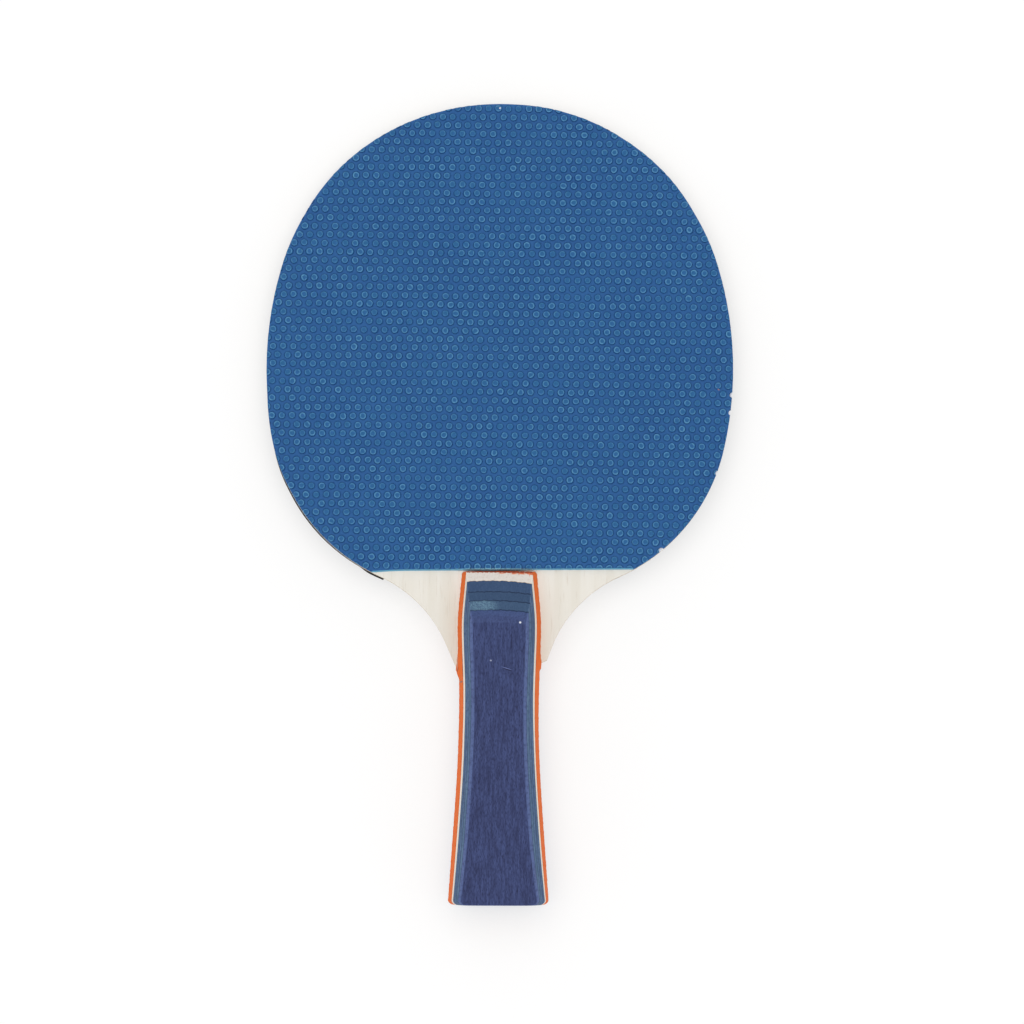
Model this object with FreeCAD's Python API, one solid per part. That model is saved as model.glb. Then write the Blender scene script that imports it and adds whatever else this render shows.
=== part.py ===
import FreeCAD, Part
import math
import os

# Table tennis bat, lying flat: millimetres, blade in the XY plane, head tip towards +Y,
# handle towards -Y, playing face with the blue sheet upwards (+Z).
# The origin is the middle of the whole bat: on the centreline, halfway along, mid-blade.

Vector = FreeCAD.Vector

# Whole bat
LENGTH = 257.8
HEAD_WIDTH = 150.0
TIP_Y = LENGTH / 2
BUTT_Y = -LENGTH / 2

# Head outline, as tangent arcs from the tip down one side: radius and angle turned
TIP_RADIUS = 73.13
TIP_TURN = 72.75
SIDE_TURN = 30.64
CHEEK_RADIUS = 58.84
CHEEK_TURN = 52.54
SHOULDER_RADIUS = 41.89
SHOULDER_TURN = -42.36
SHOULDER_RUN = 11.0

# Blade: five plies, the same both ways from the core
CORE_THICKNESS = 3.2
CROSS_PLY_THICKNESS = 0.6
FACE_PLY_THICKNESS = 0.8
BLADE_FACE_Z = CORE_THICKNESS / 2 + CROSS_PLY_THICKNESS + FACE_PLY_THICKNESS

# Pimpled rubber sheets, each at its full height over the pimples
SHEET_THICKNESS = 1.6
FRONT_SHEET_END_Y = -21.1
REAR_SHEET_END_Y = -23.6

# Handle scales, glued to both blade faces
FRONT_SCALE_END_Y = -21.5
REAR_SCALE_END_Y = -24.0
SCALE_BLANK_START_Y = -19.0
SCALE_STATIONS = (
    (-19.0, 11.8),
    (-28.0, 12.6),
    (-37.0, 13.35),
    (-47.0, 13.25),
    (-71.0, 12.7),
    (-104.0, 14.35),
    (-127.3, 16.0),
)
BUTT_CORNER = 1.6
HEAD_CORNER_X = 10.9
HEAD_CORNER_RISE = 1.5
HEAD_CORNER_REACH = 1.2
RAMP_SET_BACK = 0.3
RAMP_ANGLE = 20.0

# Each scale ply: name, thickness, and how far its top edge lies in from the handle's side
SCALE_PLIES = (
    ("orange_ply", 2.60, 1.40),
    ("cream_ply", 1.05, 2.05),
    ("blue_ply_lower", 1.30, 2.70),
    ("blue_ply_middle", 1.05, 3.30),
    ("blue_ply_upper", 1.10, 4.05),
    ("navy_ply", 1.10, 4.90),
)
WELL_CLEAR = 30.0


def arc_run(start, heading, radius, turn):
    """Returns an arc edge that leaves start along heading, with its end and the new heading."""
    side = 1.0 if turn > 0 else -1.0

    def at(angle):
        bearing = heading + angle
        x = start.x + side * radius * (math.sin(bearing) - math.sin(heading))
        y = start.y - side * radius * (math.cos(heading) - math.cos(bearing))
        return Vector(x, y, 0)

    end_turn = math.radians(turn)
    end = at(end_turn)
    edge = Part.Arc(start, at(end_turn / 2), end).toShape()
    return edge, end, heading + end_turn


def side_radius():
    """The radius of the head's flank that makes the head exactly HEAD_WIDTH wide."""
    reach = math.sin(math.radians(TIP_TURN))
    return (HEAD_WIDTH / 2 - TIP_RADIUS * reach) / (1 - reach)


def mirrored(shape):
    """The same shape on the other side of the centreline."""
    return shape.mirror(Vector(0, 0, 0), Vector(1, 0, 0))


def head_face():
    """The head's outline, with its shoulders run in as far as the handle."""
    point = Vector(0, TIP_Y, 0)
    heading = 0.0
    edges = []
    runs = (
        (TIP_RADIUS, TIP_TURN),
        (side_radius(), SIDE_TURN),
        (CHEEK_RADIUS, CHEEK_TURN),
        (SHOULDER_RADIUS, SHOULDER_TURN),
    )
    for radius, turn in runs:
        edge, point, heading = arc_run(point, heading, radius, turn)
        edges.append(edge)
    foot = point + Vector(math.cos(heading), -math.sin(heading), 0) * SHOULDER_RUN
    edges.append(Part.makeLine(point, foot))
    edges += [mirrored(edge) for edge in edges]
    edges.append(Part.makeLine(foot, Vector(-foot.x, foot.y, 0)))
    return Part.Face(Part.Wire(Part.__sortEdges__(edges)))


def handle_wire(inset, height):
    """The handle's plan outline, drawn in by inset along both sides, at one height."""
    side = Part.BSplineCurve()
    side.interpolate([Vector(half - inset, y, height) for y, half in SCALE_STATIONS])
    side = side.toShape()
    last_y, last_half = SCALE_STATIONS[-1]
    corner_start = Vector(last_half - inset, last_y, height)
    corner_end = Vector(corner_start.x - BUTT_CORNER, BUTT_Y, height)
    diagonal = math.sqrt(0.5)
    corner_middle = Vector(
        corner_end.x + BUTT_CORNER * diagonal,
        last_y + (BUTT_Y - last_y) * diagonal,
        height,
    )
    corner = Part.Arc(corner_start, corner_middle, corner_end).toShape()
    first = Vector(SCALE_STATIONS[0][1] - inset, SCALE_STATIONS[0][0], height)
    edges = [
        Part.makeLine(Vector(-first.x, first.y, height), first),
        side,
        corner,
        Part.makeLine(corner_end, Vector(-corner_end.x, BUTT_Y, height)),
        mirrored(corner),
        mirrored(side),
    ]
    return Part.Wire(Part.__sortEdges__(edges))


def blade_plan():
    """The outline of every blade ply: the head, and the tongue inside the handle."""
    return head_face().fuse(Part.Face(handle_wire(0, 0))).removeSplitter()


def slab(plan, bottom, thickness):
    """One flat layer of the blade or of a rubber sheet."""
    layer = plan.copy()
    layer.translate(Vector(0, 0, bottom))
    solid = layer.extrude(Vector(0, 0, thickness))
    return solid.Solids[0]


def sheet_plan(end_y):
    """A rubber sheet covers the head down to its straight lower edge."""
    kept = Part.makePlane(HEAD_WIDTH + 2, TIP_Y - end_y + 1, Vector(-HEAD_WIDTH / 2 - 1, end_y, 0))
    return head_face().common(kept)


def scale_outline(end_y):
    """The block that a scale is trimmed to, with its two head-end corners cut off."""
    reach = 4.0
    drop = (reach + HEAD_CORNER_REACH) * HEAD_CORNER_RISE / HEAD_CORNER_REACH
    far_x = HEAD_CORNER_X + HEAD_CORNER_REACH + reach
    corners = (
        (-HEAD_CORNER_X, end_y),
        (HEAD_CORNER_X, end_y),
        (far_x, end_y - drop),
        (far_x, BUTT_Y - 1),
        (-far_x, BUTT_Y - 1),
        (-far_x, end_y - drop),
        (-HEAD_CORNER_X, end_y),
    )
    wire = Part.makePolygon([Vector(x, y, 0) for x, y in corners])
    return Part.Face(wire).extrude(Vector(0, 0, WELL_CLEAR))


def ramp_waste(end_y):
    """What is sanded away above the scale's sloping head end."""
    foot_y = end_y - RAMP_SET_BACK
    foot_z = BLADE_FACE_Z + SCALE_PLIES[0][1]
    rise = WELL_CLEAR * math.tan(math.radians(RAMP_ANGLE))
    corners = (
        (foot_y, foot_z),
        (foot_y - WELL_CLEAR, foot_z + rise),
        (foot_y - WELL_CLEAR, foot_z + WELL_CLEAR),
        (foot_y + WELL_CLEAR, foot_z + WELL_CLEAR),
        (foot_y + WELL_CLEAR, foot_z),
        (foot_y, foot_z),
    )
    wire = Part.makePolygon([Vector(-WELL_CLEAR, y, z) for y, z in corners])
    return Part.Face(wire).extrude(Vector(2 * WELL_CLEAR, 0, 0))


def scale_ply(index, end_y):
    """One ply of a scale on the front face, with its shaped sides and trimmed head end."""
    below = SCALE_PLIES[:index]
    bottom = BLADE_FACE_Z + sum(ply[1] for ply in below)
    top = bottom + SCALE_PLIES[index][1]
    bottom_inset = below[-1][2] if below else 0.0
    wires = [handle_wire(bottom_inset, bottom), handle_wire(SCALE_PLIES[index][2], top)]
    ply = Part.makeLoft(wires, True, True).common(scale_outline(end_y))
    if index > 0:
        ply = ply.cut(ramp_waste(end_y))
    return ply.Solids[0]


def to_rear(shape):
    """The same shape on the bat's other face."""
    return shape.mirror(Vector(0, 0, 0), Vector(0, 0, 1))


def blade_nodes():
    """The core, and the cross ply and face ply on both sides of it."""
    plan = blade_plan()
    cross = slab(plan, CORE_THICKNESS / 2, CROSS_PLY_THICKNESS)
    face = slab(plan, CORE_THICKNESS / 2 + CROSS_PLY_THICKNESS, FACE_PLY_THICKNESS)
    return {
        "blade_core": slab(plan, -CORE_THICKNESS / 2, CORE_THICKNESS),
        "front_cross_ply": cross,
        "front_face_ply": face,
        "rear_cross_ply": to_rear(cross),
        "rear_face_ply": to_rear(face),
    }


def sheet_nodes():
    """The two rubber sheets, which end at slightly different places."""
    front = slab(sheet_plan(FRONT_SHEET_END_Y), BLADE_FACE_Z, SHEET_THICKNESS)
    rear = slab(sheet_plan(REAR_SHEET_END_Y), BLADE_FACE_Z, SHEET_THICKNESS)
    return {"front_rubber": front, "rear_rubber": to_rear(rear)}


def scale_nodes():
    """The six plies of each handle scale."""
    nodes = {}
    for index, (name, _, _) in enumerate(SCALE_PLIES):
        nodes["front_" + name] = scale_ply(index, FRONT_SCALE_END_Y)
        nodes["rear_" + name] = to_rear(scale_ply(index, REAR_SCALE_END_Y))
    return nodes


os.makedirs("parts", exist_ok=True)
for group in (blade_nodes(), sheet_nodes(), scale_nodes()):
    for name, shape in group.items():
        shape.exportStep("parts/" + name + ".step")
        print(name, "valid", shape.isValid(), "volume", round(shape.Volume, 1), shape.BoundBox)
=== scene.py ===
# %% [markdown]
# # A table tennis bat, finished in Blender
#
# The bat is a stack of thin layers. A plywood blade lies in the middle, a pimpled rubber sheet covers
# each side of its head, and two stacks of dyed veneer are glued to its tongue and planed into a handle.
# The solid model gives every layer its place. This script gives each one the surface that the hand and
# the eye would meet: pimples, grain, glue lines, sanded edges and a few marks of use.

# %% Load the solid model as the frame
import math

import bmesh
import bpy
import numpy as np
from mathutils import Matrix, Vector


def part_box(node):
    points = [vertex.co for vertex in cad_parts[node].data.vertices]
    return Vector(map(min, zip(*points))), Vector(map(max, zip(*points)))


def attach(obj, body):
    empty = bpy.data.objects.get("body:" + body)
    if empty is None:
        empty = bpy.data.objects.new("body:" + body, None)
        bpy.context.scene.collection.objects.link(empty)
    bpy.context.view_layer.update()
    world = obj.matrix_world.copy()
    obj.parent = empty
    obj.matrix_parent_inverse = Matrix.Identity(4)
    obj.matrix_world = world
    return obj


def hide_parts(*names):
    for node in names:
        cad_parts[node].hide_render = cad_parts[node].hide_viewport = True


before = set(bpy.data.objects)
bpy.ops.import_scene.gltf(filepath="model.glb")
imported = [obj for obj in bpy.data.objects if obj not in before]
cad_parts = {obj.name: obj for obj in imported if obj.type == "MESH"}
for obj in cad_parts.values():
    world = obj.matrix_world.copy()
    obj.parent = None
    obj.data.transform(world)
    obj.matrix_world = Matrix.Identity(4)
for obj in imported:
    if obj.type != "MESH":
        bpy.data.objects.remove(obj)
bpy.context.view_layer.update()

MM = 0.001


# %% [markdown]
# ## Sizes that the layers share
#
# A layer's heights come straight from the box of its node, so nothing here can drift away from the
# solid model. `layer_heights` reads them in millimetres, and heights on the rear half are negative.

# %% Read the layers' heights
def layer_heights(node):
    low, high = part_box(node)
    return round(low[2] / MM, 3), round(high[2] / MM, 3)


BLADE_FACE = layer_heights("front_face_ply")[1]
SHEET_TOP = layer_heights("front_rubber")[1]
HANDLE_TOP = layer_heights("front_navy_ply")[1]
TIP_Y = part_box("blade_core")[1][1] / MM
BUTT_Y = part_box("blade_core")[0][1] / MM
HALF_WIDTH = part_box("blade_core")[1][0] / MM
print("blade face", BLADE_FACE, "sheet top", SHEET_TOP, "handle top", HANDLE_TOP)

# %% [markdown]
# ## The floor, the camera and the light
#
# A bat is heaviest in its head, so on a table it rocks forward and touches in two places: the corner
# where the rear ramp meets the flat of the handle, and the far rim of the head. The butt hangs a few
# millimetres clear. The floor is therefore a plane through those two lines, two degrees off level, and
# the camera looks straight down on it through a long lens, so the outline isn't bent by perspective.
#
# The light is the kind used for catalogue work: a white room all round, one wide soft panel overhead, a
# little to the left, and a table that glows faintly itself, so the shadow is only a thin grey halo.

# %% Lay the floor under the rear ramp and the tip
REAR_SHEET_LOW = layer_heights("rear_rubber")[0]
HANDLE_LOW = layer_heights("rear_navy_ply")[0]
RAMP_FOOT_Y = -39.9
FLOOR_SLOPE = (REAR_SHEET_LOW - HANDLE_LOW) / (TIP_Y - RAMP_FOOT_Y)
FLOOR_REACH = 1800.0


def floor_height(y):
    return HANDLE_LOW + FLOOR_SLOPE * (y - RAMP_FOOT_Y)


corners = [(-1, -1), (1, -1), (1, 1), (-1, 1)]
floor_mesh = bpy.data.meshes.new("floor")
floor_mesh.from_pydata(
    [(x * FLOOR_REACH * MM, y * FLOOR_REACH * MM, floor_height(y * FLOOR_REACH) * MM) for x, y in corners],
    [],
    [(0, 1, 2, 3)],
)
floor = bpy.data.objects.new("floor", floor_mesh)
bpy.context.scene.collection.objects.link(floor)
print("floor slope, degrees:", round(math.degrees(math.atan(FLOOR_SLOPE)), 2))

# %% Set the camera over the bat
VIEW_WIDTH = 328.9
CAMERA_DISTANCE = 3000.0
CAMERA_ROLL = 0.11
SENSOR_WIDTH = 36.0
AIM = Vector((4.0, -2.55, SHEET_TOP))

floor_normal = Vector((0, -FLOOR_SLOPE, 1)).normalized()
along = Vector((0, 1, FLOOR_SLOPE)).normalized()
across = along.cross(floor_normal)
camera_data = bpy.data.cameras.new("camera")
camera_data.sensor_width = SENSOR_WIDTH
camera_data.lens = SENSOR_WIDTH * CAMERA_DISTANCE / VIEW_WIDTH
camera = bpy.data.objects.new("camera", camera_data)
turned = Matrix((across, along, floor_normal)).transposed().to_4x4()
rolled = Matrix.Rotation(math.radians(CAMERA_ROLL), 4, "Z")
camera.matrix_world = Matrix.Translation((AIM + floor_normal * CAMERA_DISTANCE) * MM) @ turned @ rolled
bpy.context.scene.collection.objects.link(camera)
bpy.context.scene.camera = camera
print("lens, mm:", round(camera_data.lens, 1))

# %% Light it like a catalogue table
ROOM_LIGHT = 0.74
PANEL_POWER = 9.5
PANEL_SIZE = 1.5
PANEL_PLACE = (-0.1, 0.08, 1.6)

world = bpy.data.worlds.new("white_room")
world.use_nodes = True
world.node_tree.nodes["Background"].inputs["Color"].default_value = (1, 1, 1, 1)
world.node_tree.nodes["Background"].inputs["Strength"].default_value = ROOM_LIGHT
bpy.context.scene.world = world
panel_data = bpy.data.lights.new("soft_panel", "AREA")
panel_data.shape = "SQUARE"
panel_data.size = PANEL_SIZE
panel_data.energy = PANEL_POWER
panel = bpy.data.objects.new("soft_panel", panel_data)
panel.location = PANEL_PLACE
panel.rotation_euler = Vector(PANEL_PLACE).to_track_quat("Z", "Y").to_euler()
bpy.context.scene.collection.objects.link(panel)
bpy.context.scene.view_settings.view_transform = "Standard"
print("room light", ROOM_LIGHT, "panel power, W:", PANEL_POWER)


# %% [markdown]
# ## A few helpers for nodes
#
# Every material and every Geometry Nodes tree is wired in code. `add` makes one node and fills its
# inputs: a socket is linked, anything else is set as a value. `calc` is the Math node, which both kinds
# of tree share, and `times`, `plus`, `minus` and `over` are its common forms. They find their tree from
# the sockets that they are given, so a formula here reads almost as it would on paper. `paint` turns a
# colour mixed on a screen, 0 to 255, into the linear light that Blender reckons with.

# %% Helpers that wire nodes
def add(tree, kind, inputs=None, **settings):
    made = tree.nodes.new(kind)
    for name, value in settings.items():
        setattr(made, name, value)
    for name, value in (inputs or {}).items():
        if isinstance(value, bpy.types.NodeSocket):
            tree.links.new(value, made.inputs[name])
        else:
            made.inputs[name].default_value = value
    return made


def tree_of(values):
    """The node tree that the sockets among the values belong to."""
    return next(value.id_data for value in values if isinstance(value, bpy.types.NodeSocket))


def calc(operation, *values):
    return add(tree_of(values), "ShaderNodeMath", dict(enumerate(values)), operation=operation).outputs[0]


def times(*values):
    return calc("MULTIPLY", *values)


def plus(*values):
    return calc("ADD", *values)


def minus(*values):
    return calc("SUBTRACT", *values)


def over(*values):
    return calc("DIVIDE", *values)


def vector_calc(operation, *values):
    made = add(tree_of(values), "ShaderNodeVectorMath", dict(enumerate(values)), operation=operation)
    return made.outputs["Value" if operation == "LENGTH" else "Vector"]


def vector(tree, x=0.0, y=0.0, z=0.0):
    return add(tree, "ShaderNodeCombineXYZ", {0: x, 1: y, 2: z}).outputs[0]


def part(place, axis):
    return add(place.id_data, "ShaderNodeSeparateXYZ", {0: place}).outputs[axis]


# %% Helpers for noise, ramps and colours
def noise(place, scale, detail, output=0):
    """Noise over a place: output 0 is one value, and 1 is three values as a colour."""
    inputs = {"Vector": place, "Scale": scale, "Detail": detail}
    return add(place.id_data, "ShaderNodeTexNoise", inputs).outputs[output]


def ramp_between(value, low, high):
    """Rises smoothly from 0 where value is at low to 1 where it is at high, and is held beyond them."""
    inputs = {"Value": value, "From Min": low, "From Max": high}
    return add(value.id_data, "ShaderNodeMapRange", inputs, interpolation_type="SMOOTHSTEP").outputs[0]


def blend_colours(fac, first, second):
    return add(fac.id_data, "ShaderNodeMix", {0: fac, 6: first, 7: second}, data_type="RGBA").outputs[2]


def paint(red, green, blue):
    def linear(value):
        value /= 255
        return value / 12.92 if value <= 0.04045 else ((value + 0.055) / 1.055) ** 2.4

    return (linear(red), linear(green), linear(blue), 1.0)


# %% Helpers for node groups
def new_group(name, tree_kind, inputs, outputs):
    """An empty node group. Each input is given its socket's kind, or the number that it usually holds."""
    group = bpy.data.node_groups.new(name, tree_kind)
    for socket_name, value in inputs.items():
        kind = value if isinstance(value, str) else {float: "Float", int: "Int"}[type(value)]
        socket = group.interface.new_socket(name=socket_name, in_out="INPUT", socket_type="NodeSocket" + kind)
        if kind != value:
            socket.default_value = value
    for socket_name, kind in outputs.items():
        group.interface.new_socket(name=socket_name, in_out="OUTPUT", socket_type="NodeSocket" + kind)
    return group, group.nodes.new("NodeGroupInput").outputs, group.nodes.new("NodeGroupOutput").inputs


def use_group(tree, group, inputs):
    return add(tree, "ShaderNodeGroup", inputs, node_tree=group).outputs


# %% [markdown]
# ## Wood grain, as one group for every ply
#
# Wood looks like wood because it is stretched: cells, pores and rings all run along the tree. The group
# takes a place on the piece in millimetres, squeezes it across the grain, and reads two noises from it.
# A broad one gives the slow change of tone between rings. A fine one is cut off high, which leaves short
# dark dashes: the open pores. A third output adds both as a height, for the bump.

# %% Build the wood grain group
PORE_START = 0.72
PORE_REACH = 0.4
PORE_EDGE = 0.16
PORE_SINK = 0.8

grain_group, g_in, g_out = new_group(
    "wood_grain", "ShaderNodeTree",
    {
        "Place": "Vector", "Streak width": 1.0, "Streak length": 12.0,
        "Pore width": 0.25, "Pore length": 2.5, "Pore share": 0.4,
    },
    {"Tone": "Float", "Pores": "Float", "Height": "Float"},
)


def squeezed_noise(place, width, length, detail):
    """Noise whose blotches are as long and as wide as asked, in the units of place."""
    blotch = vector(place.id_data, width, length, width)
    return noise(vector_calc("DIVIDE", place, blotch), 1.0, detail)


tone = squeezed_noise(g_in["Place"], g_in["Streak width"], g_in["Streak length"], 4.0)
fine = squeezed_noise(g_in["Place"], g_in["Pore width"], g_in["Pore length"], 2.0)
pore_start = minus(PORE_START, times(g_in["Pore share"], PORE_REACH))
pores = ramp_between(fine, pore_start, plus(pore_start, PORE_EDGE))
for name, value in (("Tone", tone), ("Pores", pores), ("Height", minus(tone, times(pores, PORE_SINK)))):
    grain_group.links.new(value, g_out[name])
print("wood grain nodes:", len(grain_group.nodes))

# %% [markdown]
# ## Glue lines and marks
#
# Where two plies meet, glue and dust leave a thin line, mostly darker than the wood. The plies are flat,
# so the line is simply "close to the ply's lower or upper height", and taking the height without its
# sign lets one group serve both sides of the bat.
#
# A mark is a soft ellipse at one place: round for a speck of lint, long and thin for a scratch.

# %% Build the glue line and mark groups
glue_group, g_in, g_out = new_group(
    "glue_line", "ShaderNodeTree",
    {"Place": "Vector", "Low": 0.0, "High": 1.0, "Width": 0.12},
    {"Line": "Float"},
)
rise = calc("ABSOLUTE", part(g_in["Place"], 2))
width = times(g_in["Width"], plus(noise(g_in["Place"], 1.6, 2.0), 0.5))
gap = calc("MINIMUM", *(calc("ABSOLUTE", minus(rise, g_in[end])) for end in ("Low", "High")))
glue_group.links.new(minus(1.0, ramp_between(over(gap, width), 0.3, 1.0)), g_out["Line"])

mark_group, g_in, g_out = new_group(
    "mark", "ShaderNodeTree",
    {"Place": "Vector", "Centre": "Vector", "Turn": 0.0, "Half length": 0.4, "Half width": 0.4},
    {"Mark": "Float"},
)
from_middle = vector_calc("SUBTRACT", g_in["Place"], g_in["Centre"])
turn_back = {"Vector": from_middle, "Angle": times(g_in["Turn"], -1.0)}
turned_back = add(mark_group, "ShaderNodeVectorRotate", turn_back, rotation_type="Z_AXIS").outputs[0]
reach_x = over(part(turned_back, 0), g_in["Half length"])
reach_y = over(part(turned_back, 1), g_in["Half width"])
reach = calc("SQRT", plus(calc("POWER", reach_x, 2.0), calc("POWER", reach_y, 2.0)))
mark_group.links.new(minus(1.0, ramp_between(reach, 0.45, 1.0)), g_out["Mark"])
print("glue line nodes:", len(glue_group.nodes), "mark nodes:", len(mark_group.nodes))


# %% [markdown]
# ## How a material starts
#
# Every finish on the bat reads the same thing: where on the piece we are, in millimetres. The pieces sit
# at the origin with their place in their mesh, so Object coordinates times a thousand give just that.

# %% Start a material
def new_finish(name):
    """A material, its Principled shader, and the place on the piece in millimetres."""
    material = bpy.data.materials.new(name)
    material.use_nodes = True
    tree = material.node_tree
    shader = tree.nodes["Principled BSDF"]
    coordinates = add(tree, "ShaderNodeTexCoord").outputs["Object"]
    place = vector_calc("MULTIPLY", coordinates, (1 / MM, 1 / MM, 1 / MM))
    return material, tree, shader, place


def bump(tree, shader, height, distance):
    made = add(tree, "ShaderNodeBump", {"Height": height, "Distance": distance * MM})
    tree.links.new(made.outputs["Normal"], shader.inputs["Normal"])


def attribute(tree, name):
    return add(tree, "ShaderNodeAttribute", attribute_name=name, attribute_type="GEOMETRY").outputs


def vary_roughness(tree, shader, value, inputs):
    rough = add(tree, "ShaderNodeMapRange", {"Value": value, **inputs}).outputs[0]
    tree.links.new(rough, shader.inputs["Roughness"])


# %% [markdown]
# A mark is laid over the finished colour, so it can go on any veneer or rubber. Its ellipse looks at x
# and y alone, so the mark lies wherever the surface is under it, and `front_only` keeps it off the rear.

# %% A helper that puts marks on a finish
def put_marks(finish, marks):
    """Lays marks over a finish; each is (x, y, turn in degrees, half length, half width, colour)."""
    _, tree, shader, place, colour = finish
    front_only = calc("GREATER_THAN", part(place, 2), 0.0)
    for x, y, turn, half_length, half_width, mark_colour in marks:
        inputs = {
            "Place": place, "Centre": (x, y, 0), "Turn": math.radians(turn),
            "Half length": half_length, "Half width": half_width,
        }
        shown = times(use_group(tree, mark_group, inputs)["Mark"], front_only)
        colour = blend_colours(shown, colour, paint(*mark_colour))
    tree.links.new(colour, shader.inputs["Base Color"])


# %% [markdown]
# The table is matt and pale. A glow of its own lifts it almost to white, so all that is left of the
# bat's shadow is a soft halo. Two greys that hardly differ keep so large a surface from looking dead.

# %% Paint the floor
FLOOR_GREYS = (0.43, 0.445)
FLOOR_GLOW = 0.565

floor_paint, tree, shader, place = new_finish("pale_floor")
darker, paler = [(grey, grey, grey, 1) for grey in FLOOR_GREYS]
tree.links.new(blend_colours(noise(place, 0.02, 2.0), darker, paler), shader.inputs["Base Color"])
shader.inputs["Emission Color"].default_value = (1, 1, 1, 1)
shader.inputs["Emission Strength"].default_value = FLOOR_GLOW
shader.inputs["Roughness"].default_value = 0.9
shader.inputs["Specular IOR Level"].default_value = 0.1
floor_mesh.materials.append(floor_paint)
print("floor glow:", FLOOR_GLOW)


# %% [markdown]
# ## Veneers
#
# All the wood on the bat is laid in sheets, and one sheet differs from the next in only a few things:
# its two tones, its pores, the way its grain runs, and how dark its glue lines are. `veneer` takes
# those. A `sanded` value is stored on the meshes: it is 1 where a ply was planed, and there the dye is
# thinner, so the colour moves towards its sanded tone. `ramp_cut` does the same for the sanded ramp.

# %% Mix a veneer
def veneer(
    name, pale, deep, pore, sanded, glue, bounds_mm, ramp=None, streak=(1.2, 14.0), pores=(0.22, 2.2, 0.4),
    turn=0.0, pore_depth=0.7, glue_width=0.12, roughness=0.55, uneven=0.0,
):
    """A wooden finish; streak is a width and a length in mm, and pores adds the share that is open."""
    material, tree, shader, place = new_finish(name)
    along = place
    if turn:
        along = add(tree, "ShaderNodeMapping", {"Vector": place, "Rotation": (0, 0, turn)}).outputs[0]
    grain_inputs = {
        "Place": along, "Streak width": streak[0], "Streak length": streak[1],
        "Pore width": pores[0], "Pore length": pores[1], "Pore share": pores[2],
    }
    grain = use_group(tree, grain_group, grain_inputs)
    colour = blend_colours(ramp_between(grain["Tone"], 0.3, 0.7), paint(*pale), paint(*deep))
    colour = blend_colours(times(grain["Pores"], pore_depth), colour, paint(*pore))
    wear_and_painted_light = times(attribute(tree, "sanded")["Fac"], ramp_between(noise(place, 0.9, 3.0), 0.1, 0.6))
    if uneven:
        held = times(ramp_between(grain["Tone"], 0.62, 0.4), uneven)
        wear_and_painted_light = times(wear_and_painted_light, minus(1.0, held))
    colour = blend_colours(wear_and_painted_light, colour, paint(*sanded))
    if ramp:
        speckled = blend_colours(times(grain["Pores"], 0.5), paint(*ramp), paint(*pore))
        colour = blend_colours(times(attribute(tree, "ramp_cut")["Fac"], 0.85), colour, speckled)
    line_inputs = {"Place": place, "Low": bounds_mm[0], "High": bounds_mm[1], "Width": glue_width}
    colour = blend_colours(use_group(tree, glue_group, line_inputs)["Line"], colour, paint(*glue))
    tree.links.new(colour, shader.inputs["Base Color"])
    vary_roughness(tree, shader, grain["Tone"], {"To Min": roughness - 0.08, "To Max": roughness + 0.1})
    shader.inputs["Specular IOR Level"].default_value = 0.15
    bump(tree, shader, grain["Height"], 0.05)
    return material, tree, shader, place, colour


# %% [markdown]
# The blade's face is bare and pale, and it shows only at the shoulders. Beside the grip it is painted
# darker, as painted shade cast by the handle; a dark line of painted shadow lies in the narrow gap along
# the front sheet's cut; and where the sheet's edge is bitten away the clean wood shines through.

# %% Mix the blade's face veneer
CORE_TOP = layer_heights("blade_core")[1]
CROSS_TOP = layer_heights("front_cross_ply")[1]
HANDLE_SHADE_TONE = (214, 203, 186)
BITES = ((74.75, 35.2), (74.35, 29.5), (70.1, 10.0), (52.0, -14.75))
BITTEN_WOOD = tuple((x, y, 0.0, 1.6, 1.6, (255, 255, 255)) for x, y in BITES)
# A near-black line painted in the gap between the front sheet's cut and the handle: painted shadow.
JOINT_SHADOW = ((-0.3, -21.42, 0.0, 15.0, 0.34, (44, 30, 26)),)

face_veneer, tree, shader, place, colour = veneer(
    "pale_face_veneer", pale=(235, 231, 222), deep=(229, 224, 213), pore=(204, 190, 170),
    sanded=(214, 200, 182), glue=(150, 120, 90), bounds_mm=(CROSS_TOP, BLADE_FACE + 1.0),
    streak=(3.0, 70.0), pores=(0.35, 9.0, 0.3), pore_depth=0.35, glue_width=0.07,
)
# Painted shade: the face is darkened beside the handle, more so further down towards the grip.
shade_beside_grip = minus(1.0, ramp_between(calc("ABSOLUTE", part(place, 0)), 12.5, 21.0))
shade_down_handle = ramp_between(times(part(place, 1), -1.0), 20.0, 40.0)
colour = blend_colours(times(times(shade_beside_grip, shade_down_handle), 0.55), colour, paint(*HANDLE_SHADE_TONE))
put_marks((face_veneer, tree, shader, place, colour), JOINT_SHADOW + BITTEN_WOOD)
print("marks on the blade's face:", len(JOINT_SHADOW) + len(BITTEN_WOOD))

# %% Mix the cross veneer and the core
cross_veneer = veneer(
    "cross_veneer", pale=(214, 196, 168), deep=(188, 164, 132), pore=(150, 122, 92),
    sanded=(206, 190, 166), glue=(140, 108, 78), bounds_mm=(CORE_TOP, CROSS_TOP),
    streak=(1.0, 30.0), pores=(0.25, 3.0, 0.4), turn=math.pi / 2, glue_width=0.06,
)[0]
core_wood = veneer(
    "core_wood", pale=(230, 216, 190), deep=(208, 188, 156), pore=(176, 150, 116),
    sanded=(216, 202, 178), glue=(150, 118, 86), bounds_mm=(-5.0, CORE_TOP),
    streak=(2.4, 60.0), pores=(0.3, 5.0, 0.4), glue_width=0.08,
)[0]
print("blade finishes:", face_veneer.name, cross_veneer.name, core_wood.name)


# %% [markdown]
# ## The outline of the head
#
# The head's edge is drawn as it was routed: round a jig made of tangent arcs. From the tip there is one
# arc over the top, a flatter one down the flank, a tighter one round the cheek, and then a hollow one
# that runs into the handle as the shoulder. Working in arcs keeps the edge smooth at any fineness.

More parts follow.
